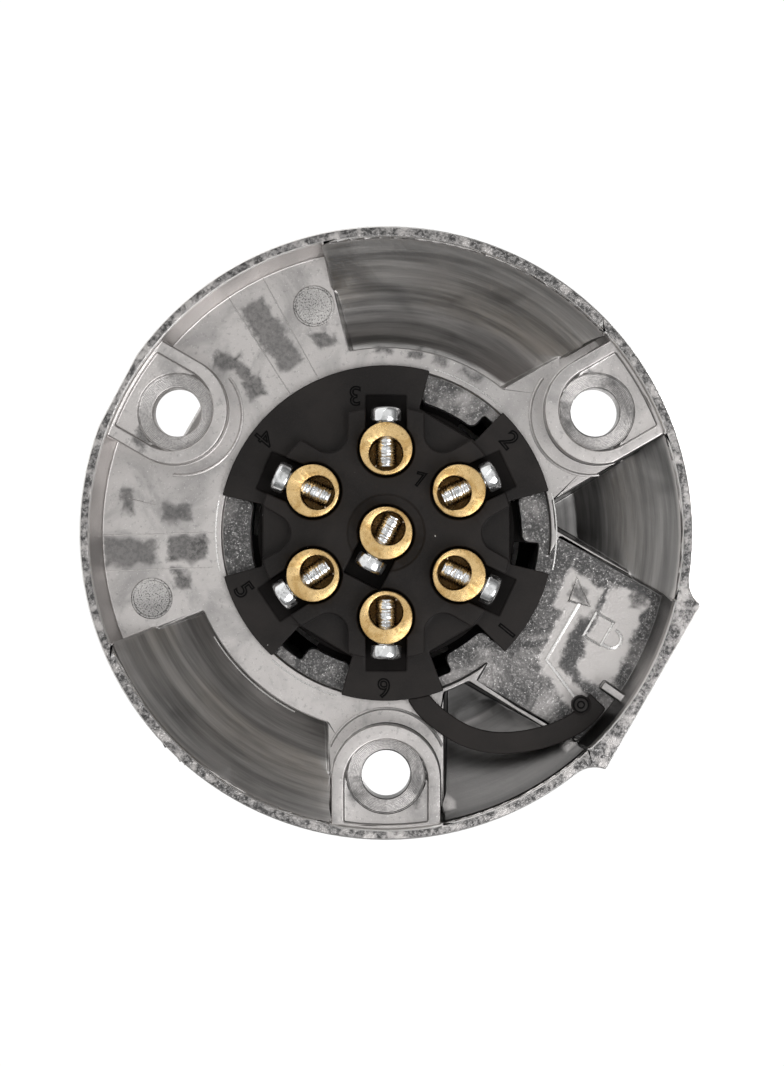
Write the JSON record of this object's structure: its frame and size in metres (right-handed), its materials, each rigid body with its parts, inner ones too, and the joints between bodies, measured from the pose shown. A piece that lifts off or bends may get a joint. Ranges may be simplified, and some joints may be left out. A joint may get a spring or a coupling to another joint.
{
  "type": "trailer wiring socket",
  "caption": "Round die-cast trailer wiring socket: bolted flange, sprung lid on a hinge, black bayonet contact insert with brass screw terminals behind.",
  "frame": {"origin": "on the socket axis, in the plane of the flange's rear rim that seats on the vehicle's bracket", "axes": "+Y out of the wiring side along the socket axis, so the lid faces -Y; +Z towards the lid's hinge"},
  "size_m": [0.082, 0.0425, 0.082],
  "materials": {
    "cast_aluminium": "as die-cast, fine grain with dark smooth patches",
    "black_plastic": "matt moulded polyamide",
    "turned_brass": "turned",
    "zinc_steel": "bright zinc plate",
    "pin_steel": "drawn stainless steel",
    "spring_steel": "drawn stainless wire",
    "seal_rubber": "matt"
  },
  "bodies": {
    "housing_body": {"housing": "cast_aluminium", "hinge_pin": "pin_steel", "lid_spring": "spring_steel"},
    "lid_body": {"lid": "cast_aluminium", "lid_gasket": "seal_rubber"},
    "insert_body": {"contact_insert": "black_plastic", "latch_arm": "black_plastic", "contact_1": "turned_brass", "contact_2": "turned_brass", "contact_3": "turned_brass", "contact_4": "turned_brass", "contact_5": "turned_brass", "contact_6": "turned_brass", "contact_7": "turned_brass"},
    "clamp_screw_1_body": {"clamp_screw_1": "zinc_steel"},
    "clamp_screw_2_body": {"clamp_screw_2": "zinc_steel"},
    "clamp_screw_3_body": {"clamp_screw_3": "zinc_steel"},
    "clamp_screw_4_body": {"clamp_screw_4": "zinc_steel"},
    "clamp_screw_5_body": {"clamp_screw_5": "zinc_steel"},
    "clamp_screw_6_body": {"clamp_screw_6": "zinc_steel"},
    "clamp_screw_7_body": {"clamp_screw_7": "zinc_steel"}
  },
  "joints": [
    {"name": "lid_hinge", "type": "hinge", "parent": "housing_body", "child": "lid_body", "pos_m": [0, -0.0332, 0.0306], "axis": [-1, 0, 0], "range_deg": [0, 112], "stiffness_Nm_per_rad": 0.012, "springref_deg": -68.75, "deforming": ["lid_spring"]},
    {"name": "insert_twist", "type": "hinge", "parent": "housing_body", "child": "insert_body", "pos_m": [0, 0, 0], "axis": [0, 1, 0], "range_deg": [0, 28], "deforming": ["latch_arm"]},
    {"name": "clamp_screw_1_slide", "type": "slide", "parent": "insert_body", "child": "clamp_screw_1_body", "axis": [0.0872, 0, 0.9962], "range_m": [0, 0.0015]},
    {"name": "clamp_screw_2_slide", "type": "slide", "parent": "insert_body", "child": "clamp_screw_2_body", "axis": [0.8192, 0, 0.5736], "range_m": [0, 0.0015]},
    {"name": "clamp_screw_3_slide", "type": "slide", "parent": "insert_body", "child": "clamp_screw_3_body", "axis": [0.866, 0, -0.5], "range_m": [0, 0.0015]},
    {"name": "clamp_screw_4_slide", "type": "slide", "parent": "insert_body", "child": "clamp_screw_4_body", "axis": [-0.1219, 0, -0.9925], "range_m": [0, 0.0015]},
    {"name": "clamp_screw_5_slide", "type": "slide", "parent": "insert_body", "child": "clamp_screw_5_body", "axis": [-0.8988, 0, -0.4384], "range_m": [0, 0.0015]},
    {"name": "clamp_screw_6_slide", "type": "slide", "parent": "insert_body", "child": "clamp_screw_6_body", "axis": [-0.866, 0, 0.5], "range_m": [0, 0.0015]},
    {"name": "clamp_screw_7_slide", "type": "slide", "parent": "insert_body", "child": "clamp_screw_7_body", "axis": [-0.9986, 0, 0.0523], "range_m": [0, 0.0015]}
  ]
}
